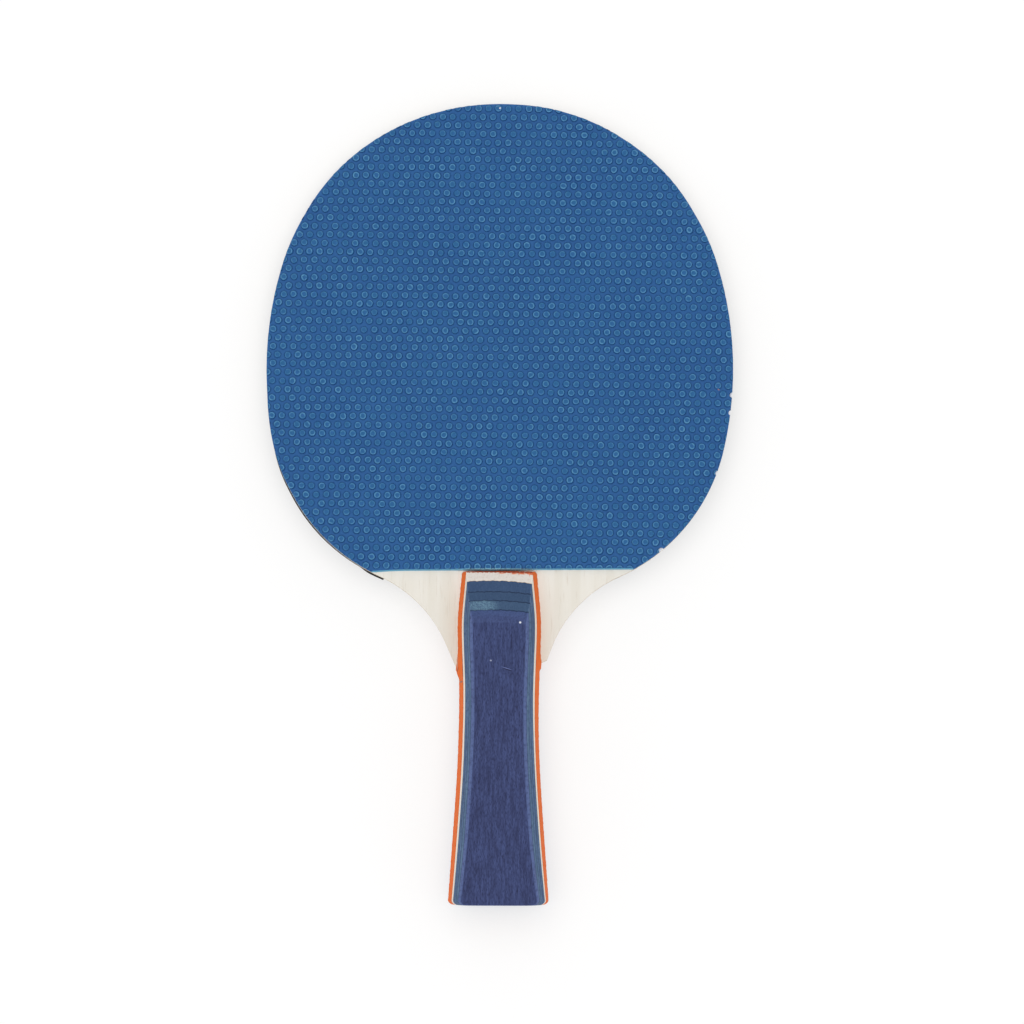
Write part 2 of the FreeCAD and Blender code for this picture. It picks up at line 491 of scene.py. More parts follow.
# %% Draw the head outline from its arcs
TIP_RADIUS = 73.13
TIP_TURN = 72.75
ARCS_AFTER_FLANK = ((58.84, 52.54), (41.89, -42.36))
FLANK_TURN = 30.64
SHOULDER_RUN = 11.0
DEGREES_PER_POINT = 1.0

lean = math.sin(math.radians(TIP_TURN))
flank_radius = (HALF_WIDTH - TIP_RADIUS * lean) / (1 - lean)


def head_side():
    """Points down the right side of the head, from the tip to the foot of the shoulder."""
    x, y, heading = 0.0, TIP_Y, 0.0
    points = []
    for radius, turn in ((TIP_RADIUS, TIP_TURN), (flank_radius, FLANK_TURN), *ARCS_AFTER_FLANK):
        bend = 1 if turn > 0 else -1
        steps = max(8, round(abs(turn) / DEGREES_PER_POINT))
        for step in range(steps):
            angle = heading + math.radians(turn) * step / steps
            points.append((
                x + bend * radius * (math.sin(angle) - math.sin(heading)),
                y - bend * radius * (math.cos(heading) - math.cos(angle)),
            ))
        last = heading + math.radians(turn)
        x += bend * radius * (math.sin(last) - math.sin(heading))
        y -= bend * radius * (math.cos(heading) - math.cos(last))
        heading = last
    for step in range(12):
        run = SHOULDER_RUN * step / 11
        points.append((x + run * math.cos(heading), y - run * math.sin(heading)))
    return np.array(points)


right_side = head_side()
print("widest point", right_side[:, 0].max().round(2), "foot of the shoulder", right_side[-1].round(2))

# %% [markdown]
# ## The handle's side
#
# The handle narrows to a waist and flares to the butt. Its side is one smooth curve through a few
# widths, measured along the handle. A natural cubic spline is the same curve that a thin springy batten
# takes when it is bent round pins, which is how such a template was once drawn.

# %% Bend a batten through the handle's widths
HANDLE_WIDTHS = (
    (-19.0, 11.8),
    (-28.0, 12.6),
    (-37.0, 13.35),
    (-47.0, 13.25),
    (-71.0, 12.7),
    (-104.0, 14.35),
    (-127.3, 16.0),
)


def batten(knots):
    """A natural cubic spline through the knots, as a function."""
    at, value = np.array(sorted(knots)).T
    gap = np.diff(at)
    slope = np.diff(value) / gap
    size = len(at)
    matrix = np.eye(size)
    right = np.zeros(size)
    for k in range(1, size - 1):
        matrix[k, k - 1 : k + 2] = gap[k - 1], 2 * (gap[k - 1] + gap[k]), gap[k]
        right[k] = 6 * (slope[k] - slope[k - 1])
    bend = np.linalg.solve(matrix, right)

    def curve(where):
        where = np.clip(where, at[0], at[-1])
        k = np.clip(np.searchsorted(at, where) - 1, 0, size - 2)
        ahead, behind, h = at[k + 1] - where, where - at[k], gap[k]
        return (
            (bend[k] * ahead**3 + bend[k + 1] * behind**3) / (6 * h)
            + (value[k] / h - bend[k] * h / 6) * ahead
            + (value[k + 1] / h - bend[k + 1] * h / 6) * behind
        )

    return curve


handle_half = batten(HANDLE_WIDTHS)
SIDE_END_Y, BUTT_HALF = HANDLE_WIDTHS[-1]
BUTT_CORNER = 1.6
BUTT_CROWN = 0.6
LEFT_FULLNESS = 0.32
print("waist half width:", handle_half(np.array([-71.0])).round(2))


# %% [markdown]
# ## Laying up solids from outlines
#
# Every flat layer is made the same way. A closed outline is repeated at several heights, drawn in a
# little at the top and bottom so that the edge is broken, and the rings are skinned. `draw_in` moves an
# outline inwards along its own normals, by one amount or by a different amount at each point.
#
# Work done by hand is never quite even, so most outlines are also pushed about by a few tenths of a
# millimetre. `hump` and `ease_in` say where: over one stretch of the edge, or from one place onwards.

# %% Helpers that push an outline about
def hump(value, centre, reach):
    """1 at the centre, falling in a curve to 0 at reach on either side of it."""
    return np.clip(1 - ((value - centre) / reach) ** 2, 0, 1)


def ease_in(value, start, reach):
    """0 up to start, then straight up to 1 over reach; a negative reach runs the other way."""
    return np.clip((value - start) / reach, 0, 1)


def draw_in(outline, amount):
    ahead = np.roll(outline, -1, axis=0) - np.roll(outline, 1, axis=0)
    ahead /= np.linalg.norm(ahead, axis=1)[:, None]
    inward = np.stack([ahead[:, 1], -ahead[:, 0]], axis=1)
    return outline + inward * np.broadcast_to(amount, len(outline))[:, None]


# %% Helpers that skin rings and place a piece
def at_height(outline, z):
    return np.column_stack([outline, np.full(len(outline), float(z))])


def skin_rings(name, rings, painted=None):
    """A closed solid skinned over rings in millimetres; painted holds one value for each point."""
    count = len(rings[0])
    mesh = bpy.data.meshes.new(name)
    faces = [tuple(range(count)), tuple(range((len(rings) - 1) * count, len(rings) * count))]
    for ring in range(len(rings) - 1):
        for k in range(count):
            n = (k + 1) % count
            low, high = ring * count, (ring + 1) * count
            faces.append((low + k, low + n, high + n, high + k))
    mesh.from_pydata([tuple(p) for p in np.concatenate(rings) * MM], [], faces)
    for key, values in (painted or {}).items():
        data = mesh.attributes.new(key, "FLOAT", "POINT").data
        data.foreach_set("value", np.concatenate(values).astype(np.float32))
    editing = bmesh.new()
    editing.from_mesh(mesh)
    bmesh.ops.recalc_face_normals(editing, faces=editing.faces)
    editing.to_mesh(mesh)
    editing.free()
    mesh.shade_smooth()
    mesh.set_sharp_from_angle(angle=math.radians(32))
    piece = bpy.data.objects.new(name, mesh)
    bpy.context.scene.collection.objects.link(piece)
    return piece


def settle(piece, node, material=None):
    """Gives a finished piece its material and its place in the frame."""
    if material:
        piece.data.materials.clear()
        piece.data.materials.append(material)
    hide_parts(node)
    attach(piece, "root")


# %% Close an outline from its side
CORNER_FULLNESS = 0.42
TIP_FULLNESS = 0.2
FLANK_FULLNESS = 0.42


def routed_by_hand(outline):
    """The fullness that the arcs leave out: at both upper corners, beside the tip and on the left flank."""
    x, y = outline.T
    corners = CORNER_FULLNESS * hump(y, TIP_Y - 17.5, 17.5)
    beside_tip = TIP_FULLNESS * hump(x, 22.0, 18.0) * (y > 100)
    flank = FLANK_FULLNESS * hump(y, 20.0, 16.0) * (x < 0)
    return draw_in(outline, -(corners + beside_tip + flank))


def closed_from_side(side, right=None):
    """A closed outline, clockwise from the tip; right is given where that side differs."""
    left = side[::-1] * (-1, 1)
    left = left[np.abs(left[:, 0]) > 1e-6]
    return routed_by_hand(np.vstack([side if right is None else right, left]))


# %% [markdown]
# ## The blade
#
# Five plies of wood, glued with their grain crossing, then routed to one outline. The outline is the
# head's side until it meets the handle, and from there the handle's own side. Each ply is a piece of its
# own with its edges broken by a few hundredths, because that fine groove is what makes plywood read as
# plywood from the side. The right shoulder was left a little proud and stops short in a small step.

# %% Draw the blade's outline
SHOULDER_STOP_Y = -51.0
SHOULDER_PROUD = 0.45
TONGUE_POINTS = 60
HALF_BUTT_POINTS = 7
handle_at = handle_half(right_side[:, 1])
outside = right_side[:, 0] > handle_at
meets = np.argmax(~outside & (right_side[:, 1] < 0))
tongue_y = np.linspace(right_side[meets][1], SIDE_END_Y, TONGUE_POINTS)
tongue = np.column_stack([handle_half(tongue_y), tongue_y])


def butt_corner(half, radius, butt):
    """The rounded corner between the handle's side and its end."""
    angles = np.radians(np.linspace(0, 90, 7))[1:]
    depth = SIDE_END_Y - butt
    return np.column_stack([half - radius + radius * np.cos(angles), SIDE_END_Y - depth * np.sin(angles)])


def crowned_butt(outline):
    """The same outline with its butt end drawn up towards the corners, and its left side a little fuller."""
    x, y = outline.T
    up = BUTT_CROWN * np.abs(x / BUTT_HALF) ** 6 * ease_in(y, -126.5, -2.4)
    fuller = LEFT_FULLNESS * ease_in(y, -58.0, -16.0) * ease_in(x, 0.0, -10.0)
    return np.column_stack([x - fuller, y + up])


corner = butt_corner(tongue[-1, 0], BUTT_CORNER, BUTT_Y)
butt_x = np.linspace(corner[-1, 0], 0, HALF_BUTT_POINTS + 1)[1:]
across_butt = np.column_stack([butt_x, np.full(HALF_BUTT_POINTS, BUTT_Y)])
run_out = right_side[:meets][right_side[:meets, 1] > SHOULDER_STOP_Y]
proud = SHOULDER_PROUD * ease_in(run_out[:, 1], -38.0, -13.0) ** 2
run_out = run_out + np.column_stack([proud, np.zeros(len(proud))])
stop_y = np.linspace(SHOULDER_STOP_Y - 0.05, SIDE_END_Y, TONGUE_POINTS)
after_stop = np.column_stack([handle_half(stop_y), stop_y])
blade_outline = closed_from_side(
    np.vstack([right_side[:meets], tongue, corner, across_butt]),
    np.vstack([run_out, after_stop, corner, across_butt]),
)
blade_outline = crowned_butt(blade_outline)
print("blade outline points:", len(blade_outline))

# %% Lay up the five plies
EDGE_BREAK = 0.05


def ply_solid(name, low, high):
    heights = ((EDGE_BREAK, low), (0, low + EDGE_BREAK), (0, high - EDGE_BREAK), (EDGE_BREAK, high))
    rings = [at_height(draw_in(blade_outline, inset), z) for inset, z in heights]
    return skin_rings(name, rings, {"sanded": [np.zeros(len(blade_outline)) for _ in rings]})


BLADE_PLIES = (
    ("blade_core", core_wood),
    ("front_cross_ply", cross_veneer),
    ("rear_cross_ply", cross_veneer),
    ("front_face_ply", face_veneer),
    ("rear_face_ply", face_veneer),
)
for node, finish in BLADE_PLIES:
    low, high = layer_heights(node)
    settle(ply_solid(node.replace("_ply", "") + "_veneer", low, high), node, finish)
print("blade plies laid up:", len(BLADE_PLIES))

# %% [markdown]
# ## The rubber sheets
#
# A pimpled sheet is one moulding: a thin base with about two thousand pimples standing in rows, each
# row set half a step from the next. It is cut to the blade with a knife, straight through the pimples at
# the rim. The straight lower edge is cut with the blade of the knife leant over, so a narrow sloping
# wall shows there, and it is painted paler as a painted highlight.
#
# The base is laid up like a ply. The pimples repeat, so Geometry Nodes make them.

# %% Cut the head's outline off along a line
BASE_THICKNESS = 0.7
LOWER_CUT_TILT = 0.0076
LOWER_CUT_CURL = 0.45
FRONT_CUT_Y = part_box("front_rubber")[0][1] / MM - 0.15
REAR_CUT_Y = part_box("rear_rubber")[0][1] / MM - 0.25
SLOPING_CUT = 0.45
BITE_RADIUS = 0.85
CHEEK_BULGE = 0.42
CHEEK_INSET = 0.06
SLIVER_BULGE = 0.5
HEAD_MIDDLE_Y = 40.0
CUT_POINTS = 60


def sheet_outline(cut_y, tilt, curl):
    """The head's outline above a nearly straight cut, and where the cut's own points are."""
    def cut_line(x):
        return cut_y + tilt * x - curl * ease_in(x, -29.0, -11.0) ** 2

    whole = closed_from_side(right_side[: np.argmax(right_side[:, 1] < cut_y - 3)])
    above = whole[:, 1] > cut_line(whole[:, 0])
    right_count = np.argmax(~above)
    left_start = len(whole) - np.argmax(~above[::-1])
    ends = []
    for last_above, onward in ((right_count - 1, 1), (left_start, -1)):
        a, b = whole[last_above % len(whole)], whole[(last_above + onward) % len(whole)]
        rise_a, rise_b = a[1] - cut_line(a[0]), b[1] - cut_line(b[0])
        ends.append(a + (b - a) * rise_a / (rise_a - rise_b))
    cut_x = np.linspace(ends[0][0], ends[1][0], CUT_POINTS)
    cut = np.column_stack([cut_x, cut_line(cut_x)])
    kept = whole[above]
    outline = np.vstack([kept[:right_count], cut, kept[right_count:]])
    on_cut = np.zeros(len(outline), bool)
    on_cut[right_count : right_count + len(cut)] = True
    return outline, on_cut


# %% Helpers that bite into an outline and fill it in
def bitten(outline, flags, centre, radius):
    """Replaces the stretch of outline within radius of centre by an arc that goes in round it."""
    away = np.linalg.norm(outline - centre, axis=1)
    inside = np.flatnonzero(away < radius)
    first, last = inside[0], inside[-1]
    a, b = outline[first - 1] - centre, outline[last + 1] - centre
    start, end = math.atan2(a[1], a[0]), math.atan2(b[1], b[0])
    inward = math.atan2(HEAD_MIDDLE_Y - centre[1], -centre[0])
    sweep = (end - start) % (2 * math.pi)
    if (inward - start) % (2 * math.pi) > sweep:
        sweep -= 2 * math.pi
    angles = start + sweep * np.linspace(0, 1, 9)
    arc = np.array(centre) + radius * np.column_stack([np.cos(angles), np.sin(angles)])
    outline = np.vstack([outline[:first], arc, outline[last + 1 :]])
    flags = np.concatenate([flags[:first], np.zeros(len(arc), bool), flags[last + 1 :]])
    return outline, flags


def denser(outline, flags, step):
    """The same outline with points no further apart than step."""
    points, marks = [], []
    for k, point in enumerate(outline):
        following = outline[(k + 1) % len(outline)]
        pieces = max(1, math.ceil(np.linalg.norm(following - point) / step))
        for piece in range(pieces):
            points.append(point + (following - point) * piece / pieces)
            marks.append(flags[k] and (piece == 0 or flags[(k + 1) % len(outline)]))
    return np.array(points), np.array(marks)


# %% Draw both sheets
def on_left_cheek(outline):
    """1 in the middle of the left cheek, falling to 0 at its ends and everywhere else."""
    return hump(outline[:, 1], -2.0, 22.0) * (outline[:, 0] < 0)


front_outline, front_cut = sheet_outline(FRONT_CUT_Y, LOWER_CUT_TILT, LOWER_CUT_CURL)
front_outline, front_cut = denser(front_outline, front_cut, 0.5)
front_outline = draw_in(front_outline, CHEEK_INSET * on_left_cheek(front_outline) * ~front_cut)
for bite in BITES:
    front_outline, front_cut = bitten(front_outline, front_cut, bite, BITE_RADIUS)
rear_outline, rear_cut = sheet_outline(REAR_CUT_Y, 0.0, 0.0)
rear_outline, rear_cut = denser(rear_outline, rear_cut, 1.0)
proud = CHEEK_BULGE * on_left_cheek(rear_outline) + SLIVER_BULGE * ease_in(rear_outline[:, 1], -20.0, -1.5)
rear_outline = draw_in(rear_outline, -proud * (rear_outline[:, 0] < 0) * ~rear_cut)
print("front outline points", len(front_outline), "rear", len(rear_outline))

# %% [markdown]
# ### The pimple tree
#
# The tree takes the base sheet and gives back the whole moulding:
#
# 1. a grid of places, with every other row moved half a step, is turned a little and put on its first
#    site, and each place strays by about a tenth of a millimetre;
# 2. only the places within the outline, or near enough to reach into it, are kept;
# 3. one pimple is built from a ten-sided disc, drawn up and in, with a shallow dish in its top;
# 4. whole pimples are placed in the middle, and those at the rim are cut to the outline;
# 5. each point is told where it stands from its pimple's centre, so the finish can paint a round pale
#    rim, partly wear and partly painted highlight, however few sides the pimple has.
#
# Ten sides and three rings are plenty for something two millimetres wide that is made two thousand times.

# %% Build the pimple tree
SITES_ACROSS, SITES_ALONG = 61, 121
PIMPLE_SIDES = 10
SMALLEST_PIMPLE, LARGEST_PIMPLE = 0.93, 1.05

pimple_tree, g_in, g_out = new_group(
    "pimpled_sheet", "GeometryNodeTree",
    {
        "Base sheet": "Geometry", "Knife block": "Object", "Pitch": 0.00325, "Row spacing": 0.00281,
        "Row turn": 0.0, "Gather": 0.0, "First site": "Vector", "Root radius": 0.0013, "Top radius": 0.00104,
        "Rim share": 0.7, "Dish share": 0.55, "Stand": 0.0009, "Dish depth": 0.00016, "Seat": 0.00005,
        "Stray": 0.0001, "Drift": 0.00015, "Seed": 1, "Rubber": "Material",
    },
    {"Sheet": "Geometry"},
)
pimple_tree.is_modifier = True


def step(kind, inputs, **settings):
    """Adds one step to the pimple tree and returns its first output."""
    return add(pimple_tree, kind, inputs, **settings).outputs[0]


def drawn_up(shape, selection, by, size):
    """Pulls the selected face along Z by a length and scales it; returns the mesh and its new face."""
    inputs = {"Mesh": shape, "Offset Scale": 1.0, "Offset": vector(pimple_tree, z=by), **selection}
    pulled = add(pimple_tree, "GeometryNodeExtrudeMesh", inputs, mode="FACES").outputs
    inputs = {"Geometry": pulled["Mesh"], "Selection": pulled["Top"], "Scale": size}
    return step("GeometryNodeScaleElements", inputs), pulled["Top"]


def joined(*shapes):
    join = add(pimple_tree, "GeometryNodeJoinGeometry")
    for shape in shapes:
        pimple_tree.links.new(shape, join.inputs[0])
    return join.outputs[0]


# %% Set out the places
grid = {
    "Size X": times(g_in["Pitch"], float(SITES_ACROSS - 1)), "Vertices X": SITES_ACROSS,
    "Size Y": times(g_in["Row spacing"], float(SITES_ALONG - 1)), "Vertices Y": SITES_ALONG,
}
sites = step("GeometryNodeMeshGrid", grid)
here = step("GeometryNodeInputPosition", {})
row = calc("ROUND", over(part(here, 1), g_in["Row spacing"]))
odd = calc("ABSOLUTE", calc("MODULO", row, 2.0))
gathered = times(times(row, calc("ABSOLUTE", row)), times(g_in["Gather"], -1.0))
offset = vector(pimple_tree, times(times(odd, 0.5), g_in["Pitch"]), gathered)
stepped = step("GeometryNodeSetPosition", {"Geometry": sites, "Offset": offset})
placing = {"Translation": g_in["First site"], "Rotation": vector(pimple_tree, z=g_in["Row turn"])}
turned = step("GeometryNodeTransform", {"Geometry": stepped, **placing})
drift = vector_calc("SUBTRACT", noise(here, 28.0, 0.0, output=1), (0.5, 0.5, 0.5))
drift = vector_calc("MULTIPLY", drift, vector(pimple_tree, g_in["Drift"], g_in["Drift"]))
either_way = {"Min": (-1, -1, 0), "Max": (1, 1, 0), "Seed": g_in["Seed"]}
stray = step("FunctionNodeRandomValue", either_way, data_type="FLOAT_VECTOR")
stray = vector_calc("MULTIPLY", stray, vector(pimple_tree, g_in["Stray"], g_in["Stray"]))
strayed = step("GeometryNodeSetPosition", {"Geometry": turned, "Offset": vector_calc("ADD", drift, stray)})

# %% Keep the places on the sheet, and find those at its rim
block = add(pimple_tree, "GeometryNodeObjectInfo", {"Object": g_in["Knife block"]}).outputs["Geometry"]


def distance_to(element):
    return add(pimple_tree, "GeometryNodeProximity", {0: block}, target_element=element).outputs["Distance"]


off_sheet = calc("GREATER_THAN", distance_to("FACES"), g_in["Top radius"])
at_rim = calc("LESS_THAN", distance_to("EDGES"), g_in["Root radius"])
kept_sites = step("GeometryNodeDeleteGeometry", {"Geometry": strayed, "Selection": off_sheet}, domain="POINT")
kept_sites = step("GeometryNodeMeshToPoints", {0: kept_sites})

# %% Build one pimple and set it on every place
ten_sides = {"Vertices": PIMPLE_SIDES, "Radius": g_in["Root radius"]}
disc = step("GeometryNodeMeshCircle", ten_sides, fill_type="NGON")
sunk = vector(pimple_tree, z=times(g_in["Seat"], -1.0))
foot = step("GeometryNodeTransform", {"Geometry": disc, "Translation": sunk})
whole_stand = plus(g_in["Stand"], times(g_in["Seat"], 2.0))
shape, top = drawn_up(foot, {}, whole_stand, over(g_in["Top radius"], g_in["Root radius"]))
shape, top = drawn_up(shape, {"Selection": top}, 0.0, g_in["Rim share"])
shape, top = drawn_up(shape, {"Selection": top}, times(g_in["Dish depth"], -1.0), g_in["Dish share"])
both = joined(shape, step("GeometryNodeFlipFaces", {0: foot}))
pimple = step("GeometryNodeMergeByDistance", {"Geometry": both, "Distance": 1e-6})


def random_between(low, high, inputs):
    inputs = {2: low, 3: high, "Seed": g_in["Seed"], **inputs}
    return add(pimple_tree, "FunctionNodeRandomValue", inputs, data_type="FLOAT").outputs[1]


def set_on(points, selection):
    size = random_between(SMALLEST_PIMPLE, LARGEST_PIMPLE, {})
    inputs = {"Points": points, "Selection": selection, "Instance": pimple}
    planted = step("GeometryNodeInstanceOnPoints", {"Scale": vector(pimple_tree, size, size, 1.0), **inputs})
    return step("GeometryNodeRealizeInstances", {"Geometry": planted})


whole_ones = set_on(kept_sites, minus(1.0, at_rim))
rim_ones = set_on(kept_sites, at_rim)
trimmed = add(pimple_tree, "GeometryNodeMeshBoolean", operation="INTERSECT", solver="EXACT")
for shape in (rim_ones, block):
    pimple_tree.links.new(shape, trimmed.inputs["Mesh 2"])

# %% Tell each point its pimple, and join the base
nearest = step("GeometryNodeSampleNearest", {"Geometry": kept_sites}, domain="POINT")
at_nearest = {"Geometry": kept_sites, "Value": here, "Index": nearest}
centre = step("GeometryNodeSampleIndex", at_nearest, data_type="FLOAT_VECTOR", domain="POINT")
told = joined(whole_ones, trimmed.outputs["Mesh"])
for name, value, kind in (
    ("from_centre", vector_calc("SUBTRACT", here, centre), "FLOAT_VECTOR"),
    ("pimple_tone", random_between(0.0, 1.0, {"ID": nearest}), "FLOAT"),
):
    inputs = {"Geometry": told, "Name": name, "Value": value}
    told = step("GeometryNodeStoreNamedAttribute", inputs, data_type=kind, domain="POINT")
smooth = step("GeometryNodeSetShadeSmooth", {"Geometry": told, "Shade Smooth": True})
moulding = step("GeometryNodeRealizeInstances", {"Geometry": joined(smooth, g_in["Base sheet"])})
coated = step("GeometryNodeSetMaterial", {"Geometry": moulding, "Material": g_in["Rubber"]})
pimple_tree.links.new(coated, g_out["Sheet"])
print("pimple tree nodes:", len(pimple_tree.nodes))

# %% [markdown]
# ### The rubber's finish
#
# Moulded rubber is matt and evenly coloured in the bulk. Each pimple has a pale ring on its rim, rarely
# whole, which is partly wear from the ball and partly painted highlight, and its own colour in the dish.
# Its foot is painted darker, as painted shade. The ring is a circle about the pimple's own centre, pushed
# out of true and broken by noise, and each pimple has its own share of it.

# %% Build the rim group: a rim of wear and painted highlight, and painted shade at the foot
rim_group, g_in, g_out = new_group(
    "worn_rim", "ShaderNodeTree",
    {
        "From centre": "Vector", "Place": "Vector", "Ring radius": 0.84, "Ring width": 0.18,
        "Ring wobble": 0.7, "Pimple tone": 0.5,
    },
    {"Rim": "Float", "Crown": "Float", "Wall": "Float"},
)
flat_place = vector_calc("MULTIPLY", g_in["From centre"], (1 / MM, 1 / MM, 0))
waves = vector_calc("SUBTRACT", noise(g_in["Place"], 0.75, 1.0, output=1), (0.5, 0.5, 0.5))
waves = vector_calc("MULTIPLY", waves, vector(rim_group, g_in["Ring wobble"], g_in["Ring wobble"]))
radius = vector_calc("LENGTH", flat_place)
wavy_radius = vector_calc("LENGTH", vector_calc("ADD", flat_place, waves))
off_ring = calc("ABSOLUTE", minus(wavy_radius, g_in["Ring radius"]))
ring = minus(1.0, ramp_between(over(off_ring, g_in["Ring width"]), 0.3, 1.2))
breaks = ramp_between(noise(g_in["Place"], 0.9, 3.0), 0.26, 0.6)
share = plus(0.4, times(g_in["Pimple tone"], 0.8))
standing = ramp_between(radius, 0.001, 0.01)
for name, value in (
    # The pale rim is partly wear and partly painted highlight.
    ("Rim", times(times(ring, share), breaks)),
    ("Crown", minus(standing, ramp_between(radius, 0.85, 1.1))),
    # Painted shade: a darker ring at the pimple's foot.
    ("Wall", ramp_between(radius, 1.02, 1.16)),
):
    rim_group.links.new(value, g_out[name])
print("worn rim nodes:", len(rim_group.nodes))


# %% Mix the rubbers
def rubber(name, deep, light, crown, wall, rim, cut, rim_strength, roughness):
    """Moulded rubber: two bulk tones, a pimple's crown, painted shade at its foot, a rim of wear and painted
    highlight, and a cut with painted highlight.
    """
    material, tree, shader, place = new_finish(name)
    dust = noise(place, 1.7, 3.0)
    mixed = times(plus(noise(place, 0.06, 4.0), dust), 0.5)
    own_pimple = {
        "From centre": attribute(tree, "from_centre")["Vector"],
        "Pimple tone": attribute(tree, "pimple_tone")["Fac"],
    }
    wear_and_painted_light = use_group(tree, rim_group, {"Place": place, **own_pimple})
    on_top = ramp_between(calc("ABSOLUTE", part(place, 2)), SHEET_TOP - 0.45, SHEET_TOP - 0.12)
    colour = blend_colours(ramp_between(mixed, 0.38, 0.62), paint(*deep), paint(*light))
    for amount, laid_over in (
        # The foot colour is painted shade round each pimple.
        (times(wear_and_painted_light["Wall"], 0.6), wall),
        (times(times(wear_and_painted_light["Crown"], on_top), ramp_between(dust, 0.25, 0.6)), crown),
        # The rim colour is partly wear and partly painted highlight.
        (times(times(wear_and_painted_light["Rim"], on_top), rim_strength), rim),
        # The cut colour is a painted highlight on the sloping cut.
        (attribute(tree, "knife_cut")["Fac"], cut),
    ):
        colour = blend_colours(amount, colour, paint(*laid_over))
    tree.links.new(colour, shader.inputs["Base Color"])
    skin = noise(place, 3.0, 4.0)
    rough = {"From Min": 0.2, "From Max": 0.8, "To Min": roughness - 0.06, "To Max": roughness + 0.08}
    vary_roughness(tree, shader, skin, rough)
    shader.inputs["Specular IOR Level"].default_value = 0.3
    bump(tree, shader, skin, 0.03)
    return material, tree, shader, place, colour


blue_rubber = rubber(
    "blue_rubber", deep=(31, 91, 152), light=(36, 97, 157), crown=(26, 92, 141), wall=(32, 91, 145),
    rim=(102, 162, 198), cut=(104, 172, 202), rim_strength=0.56, roughness=0.6,
)
black_rubber = rubber(
    "black_rubber", deep=(24, 24, 26), light=(30, 30, 32), crown=(38, 38, 40), wall=(16, 16, 18),
    rim=(74, 74, 76), cut=(60, 60, 62), rim_strength=0.5, roughness=0.55,
)
LINT = (
    (-0.1, 127.5, 20.0, 0.42, 0.34, (206, 208, 222)),
    (70.3, 37.0, -30.0, 0.5, 0.2, (196, 150, 150)),
)
# CUT_SHEEN is a painted highlight: the cut is painted paler over the handle's width.
CUT_SHEEN = ((-0.3, -21.0, 0.0, 17.0, 0.5, (138, 206, 232)),)
put_marks(blue_rubber, LINT + CUT_SHEEN)
print("rubbers:", blue_rubber[0].name, black_rubber[0].name)

# %% [markdown]
# ### Moulding the sheets
#
# The pimples at the rim are cut by intersecting them with a block of the sheet's own outline, taller than
# they are: the knife block. The two sheets start their rows at different sites and turns, as any two
# pieces cut from a roll do. The rear one is made facing up like the front, then turned under.

# %% Lay a base and its knife block
PIMPLE_PITCH = 3.256
ROW_SPACING = 2.836
ROW_GATHER = 0.00099
FRONT_FIRST_SITE = (-7.0, -20.13)
FRONT_ROW_TURN = -0.6
REAR_FIRST_SITE = (1.1, -20.6)
REAR_ROW_TURN = 0.4
PIMPLE_SEAT = 0.05
RIM_BREAK = 0.04
# CUT_SHARE is how much of the cut's painted highlight colour goes on the sloping cut.
CUT_SHARE = 0.9


def base_and_block(name, outline, on_cut):
    """The sheet's base, and the block that trims its pimples; both face upwards."""
    base_top = BLADE_FACE + BASE_THICKNESS
    slope = SLOPING_CUT / BASE_THICKNESS
    drawn = np.where(on_cut, slope, 0.0)
    rings, cut = [], []
    for z, rim in ((BLADE_FACE, 0.0), (base_top - RIM_BREAK, 0.0), (base_top, RIM_BREAK)):
        rings.append(at_height(draw_in(outline, drawn * (z - BLADE_FACE) + rim * ~on_cut), z))
        cut.append(on_cut.astype(float) * CUT_SHARE)
    inner = draw_in(outline, drawn * BASE_THICKNESS + RIM_BREAK / 2 + RIM_BREAK * ~on_cut)
    rings.append(at_height(inner, base_top))
    cut.append(np.zeros(len(outline)))
    base = skin_rings(name, rings, {"knife_cut": cut})
    heights = (base_top - PIMPLE_SEAT, SHEET_TOP + 1.0)
    block_rings = [at_height(draw_in(outline, np.where(on_cut, SLOPING_CUT, 0.0)), z) for z in heights]
    block = skin_rings(name + "_knife_block", block_rings)
    return base, block


# %% Run the pimple tree on a base
def mould(base, block, rubber_finish, first_site, row_turn, seed):
    """Runs the pimple tree on the base and returns the plain mesh that it makes."""
    values = {
        "Knife block": block,
        "Pitch": PIMPLE_PITCH * MM,
        "Row spacing": ROW_SPACING * MM,
        "Row turn": math.radians(row_turn),
        "Gather": ROW_GATHER * MM,
        "First site": Vector((*first_site, BLADE_FACE + BASE_THICKNESS - PIMPLE_SEAT)) * MM,
        "Seed": seed,
        "Rubber": rubber_finish,
    }
    modifier = base.modifiers.new("pimples", "NODES")
    modifier.node_group = pimple_tree
    for item in pimple_tree.interface.items_tree:
        if item.in_out == "INPUT" and item.name in values:
            modifier[item.identifier] = values[item.name]
    bpy.context.view_layer.update()
    evaluated = base.evaluated_get(bpy.context.evaluated_depsgraph_get())
    mesh = bpy.data.meshes.new_from_object(evaluated)
    mesh.name = base.name
    base.modifiers.remove(modifier)
    base.data = mesh
    mesh.materials.clear()
    mesh.materials.append(rubber_finish)
    bpy.data.objects.remove(block)
    print(base.name, "triangles:", sum(len(p.vertices) - 2 for p in mesh.polygons))
    return base


def turned_under(piece):
    """Mirrors a finished front piece to the rear side, with its faces still outward."""
    piece.data.transform(Matrix.Scale(-1, 4, (0, 0, 1)))
    piece.data.flip_normals()
    return piece


# %% Mould both sheets
front_laid = base_and_block("blue_pimpled_sheet", front_outline, front_cut)
front_sheet = mould(*front_laid, blue_rubber[0], FRONT_FIRST_SITE, FRONT_ROW_TURN, 11)
settle(front_sheet, "front_rubber")
rear_laid = base_and_block("black_pimpled_sheet", rear_outline, rear_cut)
rear_sheet = turned_under(mould(*rear_laid, black_rubber[0], REAR_FIRST_SITE, REAR_ROW_TURN, 23))
settle(rear_sheet, "rear_rubber")

